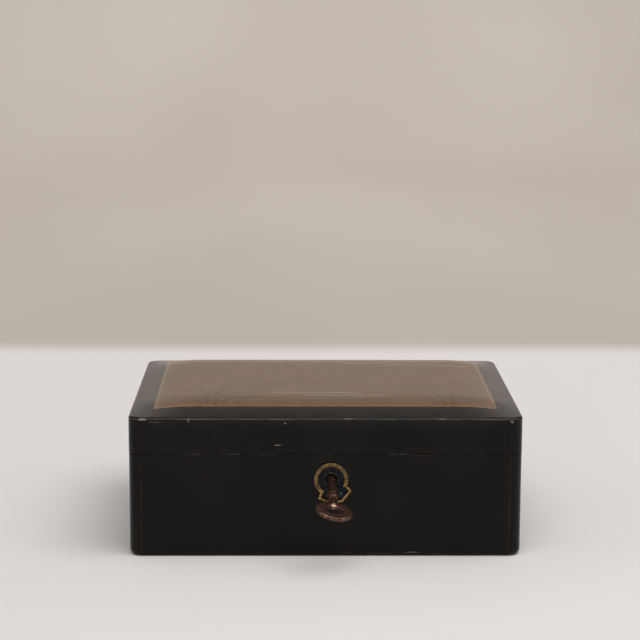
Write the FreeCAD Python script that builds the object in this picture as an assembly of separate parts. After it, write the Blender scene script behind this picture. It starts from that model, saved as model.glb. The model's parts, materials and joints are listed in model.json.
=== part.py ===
import FreeCAD, Part
import math
import os

# Japanese writing box: a lacquered box with a pillowed, hinged lid, a box lock with its key, and a lift-out
# tray of writing tools. Millimetres, +Z up, front at -Y. The origin is the middle of the box's underside.

os.makedirs("parts", exist_ok=True)
Vector = FreeCAD.Vector
Rotation = FreeCAD.Rotation

# Box and lid
lid_width = 300.0
lid_overhang = 0.1
corner_radius = 10.0
board = 9.5
base_thickness = 7.0
base_edge_radius = 4.5
body_height = 79.6
seam_gap = 0.3
rim_edge_radius = 0.6
lid_rail_height = 22.6
lid_panel_edge = 6.0
lid_arris_radius = 2.0
pillow_rise = 7.7
pillow_run = 50.0
pillow_grid = 10.0
panel_recess = 4.5
panel_recess_margin = 22.0
arris_waviness = 0.5

# Clearances
rest_gap = 0.3
nail_fit = 0.02
let_in_clearance = 0.2
running_clearance = 0.05
slide_clearance = 0.3

# How far a cut runs past the surface that it opens, and how far it starts inside a cut it joins
overrun = 1.0
cut_overlap = 0.01

# Hinges
hinge_end_distance = 65.0
hinge_end_margin = 7.0
hinge_leaf_thickness = 1.4
hinge_leaf_reach = 8.0
hinge_knuckle_radius = 2.6
hinge_pin_radius = 1.2
hinge_middle_knuckle = 15.0
hinge_knuckle_gap = 0.3
hinge_pin_head_radius = 2.0
hinge_pin_head_height = 0.9
hinge_screw_pitch = 14.0

# Wood screws: head radius, head height, shank radius, length
hinge_screw = (2.1, 1.2, 1.1, 11.0)
lock_screw = (2.0, 1.0, 1.0, 6.0)
flange_screw = (2.2, 1.0, 1.2, 12.0)
screw_slot_width = 0.6
screw_slot_depth = 0.4

# Lock
lock_x = 4.2
keyhole_drop = 18.6
keyhole_radius = 4.7
key_slope = 18.5
key_yaw = 2.0
lock_half_width = 29.0
lock_wall = 1.0
lock_height = 28.4
lock_board_left = 3.0
lock_depth = 14.5
lock_back_thickness = 1.2
lock_flange_thickness = 1.2
lock_flange_half_width = 36.0
lock_flange_front_margin = 1.5
lock_flange_screw_offset = 32.6
lock_flange_screw_shift = 0.5
lock_ear_width = 8.0
lock_ear_screw_offset = 33.0
lock_ear_screw_drops = (22.6, 9.6)
bolt_front = 3.0
bolt_thickness = 2.6
bolt_drop = 7.3
bolt_height = 4.3
bolt_tip = 13.5
bolt_tail = -21.5
bolt_travel = 4.0
bolt_lug_depth = 4.1
bolt_lug_width = 3.0
bolt_notch = (-9.9, -2.5)
bolt_post_radius = 1.0
bolt_post_offsets = (-14.0, 5.0)
bolt_post_head_radius = 1.9
bolt_post_head_height = 0.8
bolt_spring_thickness = 0.5
bolt_spring_width = 2.4
bolt_spring_end = -2.0

# Link plate on the lid
staple_thickness = 2.0
staple_gap = 0.5
staple_wall = 1.3
staple_foot = 1.7
link_plate_thickness = 1.2
link_plate_half_width = 25.0
link_plate_screw_offset = 20.0
staple_slot_clearance = 0.6

# Key
key_radius = 3.8
key_tip = 15.0
key_disc_radius = 4.4
key_disc_start = 20.4
key_disc_thickness = 2.2
key_disc_edge_radius = 0.9
key_ball_radius = 4.3
key_ball_centre = 24.6
key_rib_radius = 2.6
key_rib_tip_radius = 0.8
key_rib_tip_length = 2.0
key_rib_eye_gap = 0.2
key_bow_centre = 42.6
key_bow_half_width = 14.3
key_bow_half_length = 11.3
key_eye_half_width = 6.5
key_eye_half_length = 4.3
key_eye_shift = -0.2
key_bow_thickness = 3.0
key_bow_edge_radius = 1.2
key_bit_radius = 7.4
key_bit_thickness = 2.4
key_bit_start = 8.5
key_bit_width = 4.5
key_bit_cut_width = 1.2
key_bit_cut_depth = 2.4
key_turned = 12.0
key_full_turn_up = 90.0
key_full_turn_down = -90.0
key_slot_clearance = 0.4

# Escutcheon
escutcheon_x = 4.1
escutcheon_turn = 14.5
rim_radius = 13.0
rim_bar = 3.0
skirt_bar = 1.8
skirt_neck_angle = 54.7
skirt_corner = (13.3, -12.0)
skirt_bottom = (4.3, -18.9)
escutcheon_plate_thickness = 0.8
escutcheon_plate_margin = 0.5
escutcheon_rim_height = 1.9
escutcheon_edge_radius = 0.45
reed_count = 40
reed_skirt_angle = 130.0
reed_width = 1.0
reed_depth = 0.6
keyhole_lip = 0.6
keyhole_lip_height = 0.3
escutcheon_pin_places = ((-4.7, -12.2), (4.7, -12.2))
escutcheon_pin_head = 1.3
escutcheon_pin_head_height = 0.78
escutcheon_pin_shank = 0.6

# Tray and its ledges
ledge_thickness = 6.0
ledge_end_gap = 2.0
tray_drop = 6.3
tray_side_clearance = 0.8
tray_height = 33.0
tray_wall = 5.0
tray_floor_thickness = 4.0
tray_lock_clearance = 1.5
tray_divider_thickness = 4.0
tray_divider_height = 24.0

# Writing tools
inkstone_width = 96.0
inkstone_length = 150.0
inkstone_height = 18.0
inkstone_corner = 6.0
inkstone_side_clearance = 9.0
inkstone_rim = 7.0
inkstone_face_depth = 3.0
inkstone_face_corner = 3.0
inkstone_pond_depth = 11.0
inkstone_pond_length = 26.0
inkstone_pond_inset = 1.0
inkstone_slope_length = 22.0
inkstone_edge_radius = 1.2
dropper_width = 44.0
dropper_length = 56.0
dropper_height = 18.0
dropper_corner = 8.0
dropper_wall = 1.5
dropper_top_thickness = 1.6
dropper_top_dome = 2.4
dropper_hole_radius = 1.1
dropper_hole_offset = (11.0, 17.0)
dropper_side_clearance = 11.1
dropper_back_clearance = 16.7
ink_stick_width = 22.0
ink_stick_thickness = 9.0
ink_stick_length = 72.0
ink_stick_edge_radius = 1.5
ink_stick_gap = 26.0
brush_pitch = 20.0
brush_side_clearance = 6.0
brush_end_clearance = 8.1
brush_handle_radius = 4.2
brush_handle_length = 146.0
brush_handle_edge_radius = 1.0
brush_ferrule_radius = 3.4
brush_ferrule_length = 6.0
brush_hair_length = 26.0
# How far along the hair its belly and shoulder are, and the radius there
brush_belly = (9.1, 4.0)
brush_shoulder = (18.2, 2.4)
brush_point_radius = 0.4

# Places worked out from the sizes above. The box is as deep as its brushes need. Drops are measured down from
# the body's rim.
keyhole_height = body_height - keyhole_drop
lock_bottom = body_height - lock_height
bolt_underside = body_height - bolt_drop
tray_underside = body_height - tray_drop - tray_height - rest_gap
hinge_length = 2 * (hinge_screw_pitch + hinge_end_margin)
brush_length = brush_handle_length + brush_ferrule_length + brush_hair_length
tray_inner_depth = brush_length + 2 * brush_end_clearance
lid_depth = tray_inner_depth + 2 * (tray_wall + tray_side_clearance + board + lid_overhang)
hinge_offset = lid_width / 2 - hinge_end_distance
arris_height = body_height + seam_gap + lid_rail_height + lid_panel_edge
lid_underside = body_height + seam_gap
panel_underside = lid_underside + lid_rail_height
body_width = lid_width - 2 * lid_overhang
body_depth = lid_depth - 2 * lid_overhang
body_front = -body_depth / 2
inner_half_width = body_width / 2 - board
inner_half_depth = body_depth / 2 - board
lock_front = body_front + lock_board_left
lock_inner_front = lock_front + lock_wall
lock_rear = lock_front + lock_depth
lock_back_rear = lock_rear + lock_back_thickness
lock_top = body_height - lock_flange_thickness
bolt_y = lock_front + bolt_front
bolt_rear = bolt_y + bolt_thickness
bolt_top = bolt_underside + bolt_height
key_sag = keyhole_radius - key_radius - rest_gap
slope = math.radians(key_slope)
key_point = Vector(lock_x, body_front, keyhole_height - key_sag / math.cos(slope))
key_turning = Rotation(Vector(0, 0, 1), key_yaw) * Rotation(Vector(1, 0, 0), 90 + key_slope)
key_frame = FreeCAD.Placement(key_point, key_turning)
keyhole_frame = FreeCAD.Placement(Vector(lock_x, body_front, keyhole_height), key_turning)
escutcheon_pin_length = lock_board_left - rest_gap
escutcheon_frame = FreeCAD.Placement(
    Vector(escutcheon_x, body_front, keyhole_height),
    Rotation(Vector(1, 0, 0), 90) * Rotation(Vector(0, 0, 1), escutcheon_turn),
)
throw_turn = key_full_turn_up - key_turned
bolt_per_degree = bolt_travel / throw_turn
bolt_return = bolt_per_degree * (key_turned - key_full_turn_down)
hinge_y = lid_depth / 2 + hinge_knuckle_radius + rest_gap
hinge_z = body_height + seam_gap / 2
tray_half_width = inner_half_width - tray_side_clearance
tray_half_depth = inner_half_depth - tray_side_clearance
tray_inner_half_width = tray_half_width - tray_wall
tray_inner_half_depth = tray_half_depth - tray_wall
tray_bottom = tray_underside + rest_gap
tray_floor_top = tray_bottom + tray_floor_thickness
tray_top = tray_bottom + tray_height
notch_left = lock_x - lock_flange_half_width - tray_lock_clearance
notch_right = lock_x + lock_flange_half_width + tray_lock_clearance
notch_back = lock_back_rear + tray_lock_clearance
tool_seat = tray_floor_top + rest_gap
dropper_x = tray_inner_half_width - dropper_side_clearance - dropper_width / 2
dropper_y = tray_inner_half_depth - dropper_back_clearance - dropper_length / 2
ink_stick_y = dropper_y - dropper_length / 2 - ink_stick_gap - ink_stick_length / 2
right_divider_x = dropper_x - dropper_width / 2 - dropper_side_clearance - tray_divider_thickness / 2
inkstone_x = right_divider_x - tray_divider_thickness / 2 - inkstone_side_clearance - inkstone_width / 2
left_divider_x = inkstone_x - inkstone_width / 2 - inkstone_side_clearance - tray_divider_thickness / 2
brush_x = brush_side_clearance + brush_handle_radius - tray_inner_half_width


def box(low, high):
    size = Vector(*high) - Vector(*low)
    return Part.makeBox(size.x, size.y, size.z, Vector(*low))


def rounded_slab(width, depth, radius, low, high):
    """A slab centred on the Z axis with rounded upright corners."""
    slab = box((-width / 2, -depth / 2, low), (width / 2, depth / 2, high))
    uprights = [e for e in slab.Edges if abs(e.BoundBox.ZLength - (high - low)) < 1e-6]
    return slab.makeFillet(radius, uprights)


def edges_at(shape, height):
    """The outline's edges that lie at one height."""
    return [e for e in shape.Edges if abs(e.BoundBox.ZMin - height) < 1e-4 and e.BoundBox.ZLength < 1e-4]


def round_edges(shape):
    return [e for e in shape.Edges if e.Curve.TypeId == "Part::GeomCircle"]


def placed(shape, frame):
    shape = shape.copy()
    shape.Placement = frame.multiply(shape.Placement)
    return shape


def frame_along(point, direction):
    return FreeCAD.Placement(Vector(*point), Rotation(Vector(0, 0, 1), Vector(*direction)))


def prism(points, low, high):
    """A polygon in the XY plane, raised from one height to another."""
    corners = [Vector(x, y, low) for x, y in points]
    face = Part.Face(Part.makePolygon(corners + corners[:1]))
    return face.extrude(Vector(0, 0, high - low))


def fused(shapes):
    return shapes[0].multiFuse(shapes[1:]).removeSplitter()


def screw_shape(sizes, extra):
    """A countersunk screw pointing down from its head's top face, each radius larger by extra."""
    head_radius, head_height, shank_radius, length = sizes
    head = Part.makeCone(shank_radius + extra, head_radius + extra, head_height, Vector(0, 0, -head_height))
    shank = Part.makeCylinder(shank_radius + extra, length - head_height, Vector(0, 0, -length))
    return head.fuse(shank).removeSplitter()


def screw(sizes, point, direction):
    """A slotted screw whose head faces along direction."""
    head_radius = sizes[0]
    slot = box(
        (-head_radius, -screw_slot_width / 2, -screw_slot_depth),
        (head_radius, screw_slot_width / 2, screw_slot_depth),
    )
    return placed(screw_shape(sizes, 0).cut(slot), frame_along(point, direction))


def screw_hole(sizes, point, direction):
    return placed(screw_shape(sizes, nail_fit), frame_along(point, direction))


def drilled(shape, sizes, places, direction):
    for place in places:
        shape = shape.cut(screw_hole(sizes, place, direction))
    return shape


def save(node, *shapes):
    solids = [s for shape in shapes for s in shape.Solids]
    result = solids[0] if len(solids) == 1 else Part.makeCompound(solids)
    result.exportStep("parts/%s.step" % node)


def split_walls(shell, width, depth, low, high, names):
    """Cuts a slab into two full-depth side boards and two boards set between them."""
    half_width = width / 2 - board
    half_depth = depth / 2 - board
    regions = {
        "left": ((-width, -depth, low), (-half_width, depth, high)),
        "right": ((half_width, -depth, low), (width, depth, high)),
        "front": ((-half_width, -depth, low), (half_width, -half_depth, high)),
        "back": ((-half_width, half_depth, low), (half_width, depth, high)),
    }
    return {names[side]: shell.common(box(*region)) for side, region in regions.items()}


def hinge_screw_places(side, height):
    y = hinge_y - hinge_knuckle_radius - rest_gap - lid_overhang - hinge_leaf_reach / 2
    return [(side * hinge_offset + k * hinge_screw_pitch, y, height) for k in (-1, 0, 1)]


def hinge_leaf_bounds(side):
    centre = side * hinge_offset
    front = lid_depth / 2 - lid_overhang - hinge_leaf_reach
    return centre - hinge_length / 2, centre + hinge_length / 2, front


def hinge_let_in(side, low, high):
    """The shallow housing for one leaf, open at the back of the box."""
    left, right, front = hinge_leaf_bounds(side)
    gap = let_in_clearance
    return box((left - gap, front - gap, low), (right + gap, lid_depth, high))


def hinge(side):
    """One butt hinge: the leaf on the body, the leaf on the lid and the pin."""
    left, right, front = hinge_leaf_bounds(side)
    centre = (left + right) / 2
    half_middle = hinge_middle_knuckle / 2
    outer_knuckles = (
        (left, centre - half_middle - hinge_knuckle_gap),
        (centre + half_middle + hinge_knuckle_gap, right),
    )
    middle_knuckle = ((centre - half_middle, centre + half_middle),)

    def leaf(low, high, knuckles):
        plate = box((left, front, low), (right, hinge_y - hinge_knuckle_radius - rest_gap, high))
        tongues = [box((x0, front, low), (x1, hinge_y, high)) for x0, x1 in knuckles]
        barrels = [
            Part.makeCylinder(hinge_knuckle_radius, x1 - x0, Vector(x0, hinge_y, hinge_z), Vector(1, 0, 0))
            for x0, x1 in knuckles
        ]
        bore = Part.makeCylinder(
            hinge_pin_radius + running_clearance,
            right - left,
            Vector(left, hinge_y, hinge_z),
            Vector(1, 0, 0),
        )
        return fused([plate] + tongues + barrels).cut(bore)

    body_leaf = leaf(body_height - hinge_leaf_thickness, body_height, outer_knuckles)
    lid_leaf = leaf(lid_underside, lid_underside + hinge_leaf_thickness, middle_knuckle)
    body_leaf = drilled(body_leaf, hinge_screw, hinge_screw_places(side, body_height), (0, 0, 1))
    lid_leaf = drilled(lid_leaf, hinge_screw, hinge_screw_places(side, lid_underside), (0, 0, -1))
    pin = Part.makeCylinder(
        hinge_pin_radius, right - left, Vector(left, hinge_y, hinge_z), Vector(1, 0, 0)
    )
    heads = [
        Part.makeCylinder(
            hinge_pin_head_radius, hinge_pin_head_height, Vector(x, hinge_y, hinge_z), Vector(1, 0, 0)
        )
        for x in (left - hinge_pin_head_height, right)
    ]
    return body_leaf, lid_leaf, fused([pin] + heads)


def lock_space():
    """The room cut in the front board for the lock's case, ears and top flange."""
    gap = let_in_clearance
    case = box(
        (lock_x - lock_half_width - gap, lock_front - gap, lock_bottom - gap),
        (lock_x + lock_half_width + gap, 0, body_height),
    )
    flange = box(
        (lock_x - lock_flange_half_width - gap, body_front + lock_flange_front_margin - gap, lock_top),
        (lock_x + lock_flange_half_width + gap, 0, body_height),
    )
    return case.fuse(flange)


def keyway(depth_in, reach_out):
    """The sloping passage for the key: a round hole with a slot below it for the bit."""
    hole = placed(
        Part.makeCylinder(keyhole_radius, depth_in + reach_out, Vector(0, 0, -depth_in)), keyhole_frame
    )
    half_slot = key_bit_thickness / 2 + key_slot_clearance
    slot_end = -key_bit_radius - key_slot_clearance
    slot = placed(box((-half_slot, slot_end, -depth_in), (half_slot, 0, reach_out)), key_frame)
    return hole.fuse(slot)


def flange_screw_places():
    y = body_front + board / 2 + lock_flange_screw_shift
    return [(lock_x + side * lock_flange_screw_offset, y, body_height) for side in (-1, 1)]


def ear_screw_places():
    y = body_front + board + lock_wall
    return [
        (lock_x + side * lock_ear_screw_offset, y, body_height - drop)
        for side in (-1, 1)
        for drop in lock_ear_screw_drops
    ]


def build_body():
    shell = rounded_slab(body_width, body_depth, corner_radius, base_thickness, body_height)
    shell = shell.makeFillet(rim_edge_radius, edges_at(shell, body_height))
    names = {
        "left": "left_side_board",
        "right": "right_side_board",
        "front": "front_board",
        "back": "back_board",
    }
    boards = split_walls(shell, body_width, body_depth, base_thickness, body_height, names)

    front = boards["front_board"].cut(lock_space()).cut(keyway(lock_depth, board))
    front = drilled(front, lock_screw, ear_screw_places(), (0, 1, 0))
    front = drilled(front, flange_screw, flange_screw_places(), (0, 0, 1))
    boards["front_board"] = front.cut(escutcheon_pin_shanks(nail_fit))

    back = boards["back_board"]
    for side in (-1, 1):
        back = back.cut(hinge_let_in(side, body_height - hinge_leaf_thickness, body_height))
        back = drilled(back, hinge_screw, hinge_screw_places(side, body_height), (0, 0, 1))
    boards["back_board"] = back
    for node, shape in boards.items():
        save(node, shape)

    base = rounded_slab(body_width, body_depth, corner_radius, 0, base_thickness)
    save("base_board", base.makeFillet(base_edge_radius, edges_at(base, 0)))

    for name, side in (("left_tray_ledge", -1), ("right_tray_ledge", 1)):
        x0, x1 = sorted((side * inner_half_width, side * (inner_half_width - ledge_thickness)))
        half_length = inner_half_depth - ledge_end_gap
        save(name, box((x0, -half_length, base_thickness), (x1, half_length, tray_underside)))


def pillow_height(x, y):
    """The lid's top surface above its rim, which falls away towards all four edges."""

    def lift(inset):
        share = min(inset, pillow_run) / pillow_run
        return math.sin(math.pi / 2 * share) if share > 0 else math.pi / 2 * share

    along = lift(lid_width / 2 - abs(x))
    across = lift(lid_depth / 2 - abs(y))
    if along > 0 and across > 0:
        return pillow_rise * along * across
    return pillow_rise * min(along, across)


def pillow_surface():
    columns = int(lid_width / pillow_grid / 2) + 1
    rows = int(lid_depth / pillow_grid / 2) + 1
    xs = [i * lid_width / 2 / columns for i in range(-columns - 1, columns + 2)]
    ys = [j * lid_depth / 2 / rows for j in range(-rows - 1, rows + 2)]
    points = [[Vector(x, y, arris_height + pillow_height(x, y)) for y in ys] for x in xs]
    surface = Part.BSplineSurface()
    surface.interpolate(points)
    return surface.toShape()


def build_lid_panel():
    top = arris_height + pillow_rise
    pillow = pillow_surface().extrude(Vector(0, 0, panel_underside - top - overrun))
    slab = rounded_slab(lid_width, lid_depth, corner_radius, panel_underside, top + overrun)
    panel = slab.common(pillow)
    arris = [
        e
        for e in panel.Edges
        if abs(e.BoundBox.ZMin - arris_height) < arris_waviness
        and abs(e.BoundBox.ZMax - arris_height) < arris_waviness
    ]
    panel = panel.makeFillet(lid_arris_radius, arris)
    half_width = lid_width / 2 - panel_recess_margin
    half_depth = lid_depth / 2 - panel_recess_margin
    recess_top = panel_underside + panel_recess
    recess = box((-half_width, -half_depth, panel_underside), (half_width, half_depth, recess_top))
    save("lid_panel", panel.cut(recess))


def link_plate_places():
    y = -lid_depth / 2 + board / 2
    return [(lock_x + side * link_plate_screw_offset, y, lid_underside) for side in (-1, 1)]


def link_plate_bounds():
    front = body_front + lock_flange_front_margin
    rear = bolt_rear + staple_gap + staple_wall
    return front, rear


def build_lid():
    shell = rounded_slab(lid_width, lid_depth, corner_radius, lid_underside, panel_underside)
    shell = shell.makeFillet(rim_edge_radius, edges_at(shell, lid_underside))
    names = {
        "left": "lid_left_rail",
        "right": "lid_right_rail",
        "front": "lid_front_rail",
        "back": "lid_back_rail",
    }
    rails = split_walls(shell, lid_width, lid_depth, lid_underside, panel_underside, names)

    gap = let_in_clearance
    front, rear = link_plate_bounds()
    housing = box(
        (lock_x - link_plate_half_width - gap, front - gap, lid_underside),
        (lock_x + link_plate_half_width + gap, rear, lid_underside + link_plate_thickness),
    )
    rail = rails["lid_front_rail"].cut(housing)
    rails["lid_front_rail"] = drilled(rail, flange_screw, link_plate_places(), (0, 0, -1))

    back = rails["lid_back_rail"]
    for side in (-1, 1):
        back = back.cut(hinge_let_in(side, lid_underside, lid_underside + hinge_leaf_thickness))
        back = drilled(back, hinge_screw, hinge_screw_places(side, lid_underside), (0, 0, -1))
    rails["lid_back_rail"] = back
    for node, shape in rails.items():
        save(node, shape)
    build_lid_panel()


def build_hinges():
    for name, side in (("left", -1), ("right", 1)):
        body_leaf, lid_leaf, pin = hinge(side)
        save(name + "_hinge_body_leaf", body_leaf)
        save(name + "_hinge_lid_leaf", lid_leaf)
        save(name + "_hinge_pin", pin)
    body_places = hinge_screw_places(-1, body_height) + hinge_screw_places(1, body_height)
    lid_places = hinge_screw_places(-1, lid_underside) + hinge_screw_places(1, lid_underside)
    save("hinge_body_screws", *[screw(hinge_screw, p, (0, 0, 1)) for p in body_places])
    save("hinge_lid_screws", *[screw(hinge_screw, p, (0, 0, -1)) for p in lid_places])


def build_link_plate():
    """The plate under the lid's front rail, with the staple that the bolt passes through."""
    front, rear = link_plate_bounds()
    left = lock_x + bolt_tip + staple_gap
    tab_front = bolt_y - staple_wall
    tab_low = bolt_underside - slide_clearance - staple_foot
    plate = box(
        (lock_x - link_plate_half_width, front, lid_underside),
        (lock_x + link_plate_half_width, rear, lid_underside + link_plate_thickness),
    )
    tab = box((left, tab_front, tab_low), (left + staple_thickness, rear, lid_underside))
    eye = box(
        (left - overrun, bolt_y - slide_clearance, bolt_underside - slide_clearance),
        (left + staple_thickness + overrun, bolt_rear + slide_clearance, bolt_top + slide_clearance),
    )
    plate = plate.fuse(tab).cut(eye).removeSplitter()
    save("link_plate", drilled(plate, flange_screw, link_plate_places(), (0, 0, -1)))
    save("link_plate_screws", *[screw(flange_screw, p, (0, 0, -1)) for p in link_plate_places()])


def build_lock():
    """The case in the front board, its back plate with the top flange, and the bolt on its posts."""
    x0 = lock_x - lock_half_width
    x1 = lock_x + lock_half_width
    board_inside = body_front + board
    outer = box((x0, lock_front, lock_bottom), (x1, lock_rear, lock_top))
    inner = box(
        (x0 + lock_wall, lock_inner_front, lock_bottom + lock_wall), (x1 - lock_wall, lock_rear, lock_top)
    )
    ears = box(
        (x0 - lock_ear_width, board_inside, lock_bottom),
        (x1 + lock_ear_width, board_inside + lock_wall, lock_top - lock_wall),
    )
    case = outer.fuse(ears).cut(inner).removeSplitter().cut(keyway(lock_depth, board))
    save("lock_case", drilled(case, lock_screw, ear_screw_places(), (0, 1, 0)))

    back = box((x0, lock_rear, lock_bottom), (x1, lock_back_rear, lock_top))
    flange = box(
        (lock_x - lock_flange_half_width, body_front + lock_flange_front_margin, lock_top),
        (lock_x + lock_flange_half_width, lock_back_rear, body_height),
    )
    staple_left = lock_x + bolt_tip + staple_gap - staple_slot_clearance
    staple_right = staple_left + staple_thickness + 2 * staple_slot_clearance
    rear = link_plate_bounds()[1]
    staple_slot = box(
        (staple_left, lock_inner_front, lock_top - overrun),
        (staple_right, rear + staple_slot_clearance, body_height + overrun),
    )
    plate = back.fuse(flange).removeSplitter().cut(staple_slot)
    save("lock_back_plate", drilled(plate, flange_screw, flange_screw_places(), (0, 0, 1)))

    ear_screws = [screw(lock_screw, p, (0, 1, 0)) for p in ear_screw_places()]
    flange_screws = [screw(flange_screw, p, (0, 0, 1)) for p in flange_screw_places()]
    save("lock_screws", *(ear_screws + flange_screws))
    build_bolt()


def build_bolt():
    middle = bolt_underside + bolt_height / 2
    bar = box((lock_x + bolt_tail, bolt_y, bolt_underside), (lock_x + bolt_tip, bolt_rear, bolt_top))
    lug_low = bolt_underside - bolt_lug_depth
    lug_edges = (
        (bolt_notch[0] - bolt_lug_width, bolt_notch[0]),
        (bolt_notch[1], bolt_notch[1] + bolt_lug_width),
    )
    lugs = [
        box((lock_x + left, bolt_y, lug_low), (lock_x + right, bolt_rear, bolt_underside))
        for left, right in lug_edges
    ]
    bolt = fused([bar] + lugs)
    half_slot = bolt_post_radius + running_clearance
    posts = []
    for offset in bolt_post_offsets:
        left = lock_x + offset - bolt_travel - half_slot - slide_clearance
        right = lock_x + offset + bolt_return + half_slot + slide_clearance
        slot = box(
            (left, bolt_y - overrun, middle - half_slot), (right, bolt_rear + overrun, middle + half_slot)
        )
        bolt = bolt.cut(slot)
        head_y = bolt_rear + slide_clearance
        start = Vector(lock_x + offset, lock_inner_front, middle)
        shank = Part.makeCylinder(bolt_post_radius, head_y - lock_inner_front, start, Vector(0, 1, 0))
        head = Part.makeCylinder(
            bolt_post_head_radius, bolt_post_head_height, Vector(start.x, head_y, middle), Vector(0, 1, 0)
        )
        posts.append(shank.fuse(head).removeSplitter())
    save("lock_bolt", bolt)
    save("bolt_posts", *posts)

    def strip_arc(lift):
        left_x = lock_x - lock_half_width + lock_wall
        right_x = lock_x + bolt_spring_end
        high = lock_top - rest_gap - bolt_spring_thickness + lift
        low = bolt_top + rest_gap / 2 + lift
        points = ((left_x, high), ((left_x + right_x) / 2, low), (right_x, high))
        return [Vector(x, bolt_y, z) for x, z in points]

    under = strip_arc(0)
    over = strip_arc(bolt_spring_thickness)
    outline = Part.Wire(
        [
            Part.Arc(*under).toShape(),
            Part.makeLine(under[2], over[2]),
            Part.Arc(*over).toShape(),
            Part.makeLine(over[0], under[0]),
        ]
    )
    save("bolt_spring", Part.Face(outline).extrude(Vector(0, bolt_spring_width, 0)))


def build_key():
    """The key, modelled along its own axis with the bow outside, then hung in the sloping keyway."""
    barrel = Part.makeCylinder(key_radius, key_tip + key_disc_start, Vector(0, 0, -key_tip))
    disc = Part.makeCylinder(key_disc_radius, key_disc_thickness, Vector(0, 0, key_disc_start))
    disc = disc.makeFillet(key_disc_edge_radius, round_edges(disc))
    ball = Part.makeSphere(key_ball_radius, Vector(0, 0, key_ball_centre))
    rib_end = key_bow_centre + key_eye_shift - key_eye_half_length - key_rib_eye_gap - key_rib_tip_length
    rib = Part.makeCylinder(key_rib_radius, rib_end - key_disc_start, Vector(0, 0, key_disc_start))
    rib_tip = Part.makeCone(key_rib_radius, key_rib_tip_radius, key_rib_tip_length, Vector(0, 0, rib_end))

    def oval(half_width, half_length, shift):
        middle = Vector(0, shift, 0)
        if half_width >= half_length:
            curve = Part.Ellipse(middle, half_width, half_length)
        else:
            curve = Part.Ellipse(Vector(0, shift + half_length, 0), Vector(half_width, shift, 0), middle)
        return Part.Face(Part.Wire(curve.toShape())).extrude(Vector(0, 0, key_bow_thickness))

    eye = oval(key_eye_half_width, key_eye_half_length, key_eye_shift)
    ring = oval(key_bow_half_width, key_bow_half_length, 0).cut(eye)
    ring = ring.makeFillet(key_bow_edge_radius, [e for e in ring.Edges if e.BoundBox.ZLength < 1e-4])
    ring = placed(
        ring,
        FreeCAD.Placement(Vector(0, key_bow_thickness / 2, key_bow_centre), Rotation(Vector(1, 0, 0), 90)),
    )
    bit = box(
        (-key_bit_radius, -key_bit_thickness / 2, -key_bit_start - key_bit_width),
        (0, key_bit_thickness / 2, -key_bit_start),
    )
    cut_middle = -key_bit_start - key_bit_width / 2
    cut = box(
        (-key_bit_radius, -key_bit_thickness, cut_middle - key_bit_cut_width / 2),
        (-key_bit_radius + key_bit_cut_depth, key_bit_thickness, cut_middle + key_bit_cut_width / 2),
    )
    key = fused([barrel, disc, ball, rib, rib_tip, ring, bit.cut(cut)])
    turned = key_frame.multiply(FreeCAD.Placement(Vector(0, 0, 0), Rotation(Vector(0, 0, 1), -key_turned)))
    save("key", placed(key, turned))


def escutcheon_outline(bar_ring, bar_skirt, low, high):
    """The ring and flared skirt, drawn in by one width at the ring and another at the skirt."""
    neck = math.radians(skirt_neck_angle)
    neck_x = rim_radius * math.sin(neck)
    neck_y = -rim_radius * math.cos(neck)
    right_side = [(neck_x, neck_y), skirt_corner, skirt_bottom]
    left_side = [(-x, y) for x, y in reversed(right_side)]
    outline = [(0, 0)] + right_side + left_side
    skirt = prism(outline, low, high)
    if bar_skirt:
        flat = Part.Wire(Part.makePolygon([Vector(x, y, low) for x, y in outline + outline[:1]]))
        drawn_in = flat.makeOffset2D(-bar_skirt, 2)
        skirt = Part.Face(drawn_in).extrude(Vector(0, 0, high - low))
    ring = Part.makeCylinder(rim_radius - bar_ring, high - low, Vector(0, 0, low))
    return ring.fuse(skirt).removeSplitter()


def escutcheon_pin_shanks(extra):
    shanks = [
        Part.makeCylinder(
            escutcheon_pin_shank + extra, escutcheon_pin_length, Vector(x, y, -escutcheon_pin_length)
        )
        for x, y in escutcheon_pin_places
    ]
    return placed(Part.makeCompound(shanks), escutcheon_frame)


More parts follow.
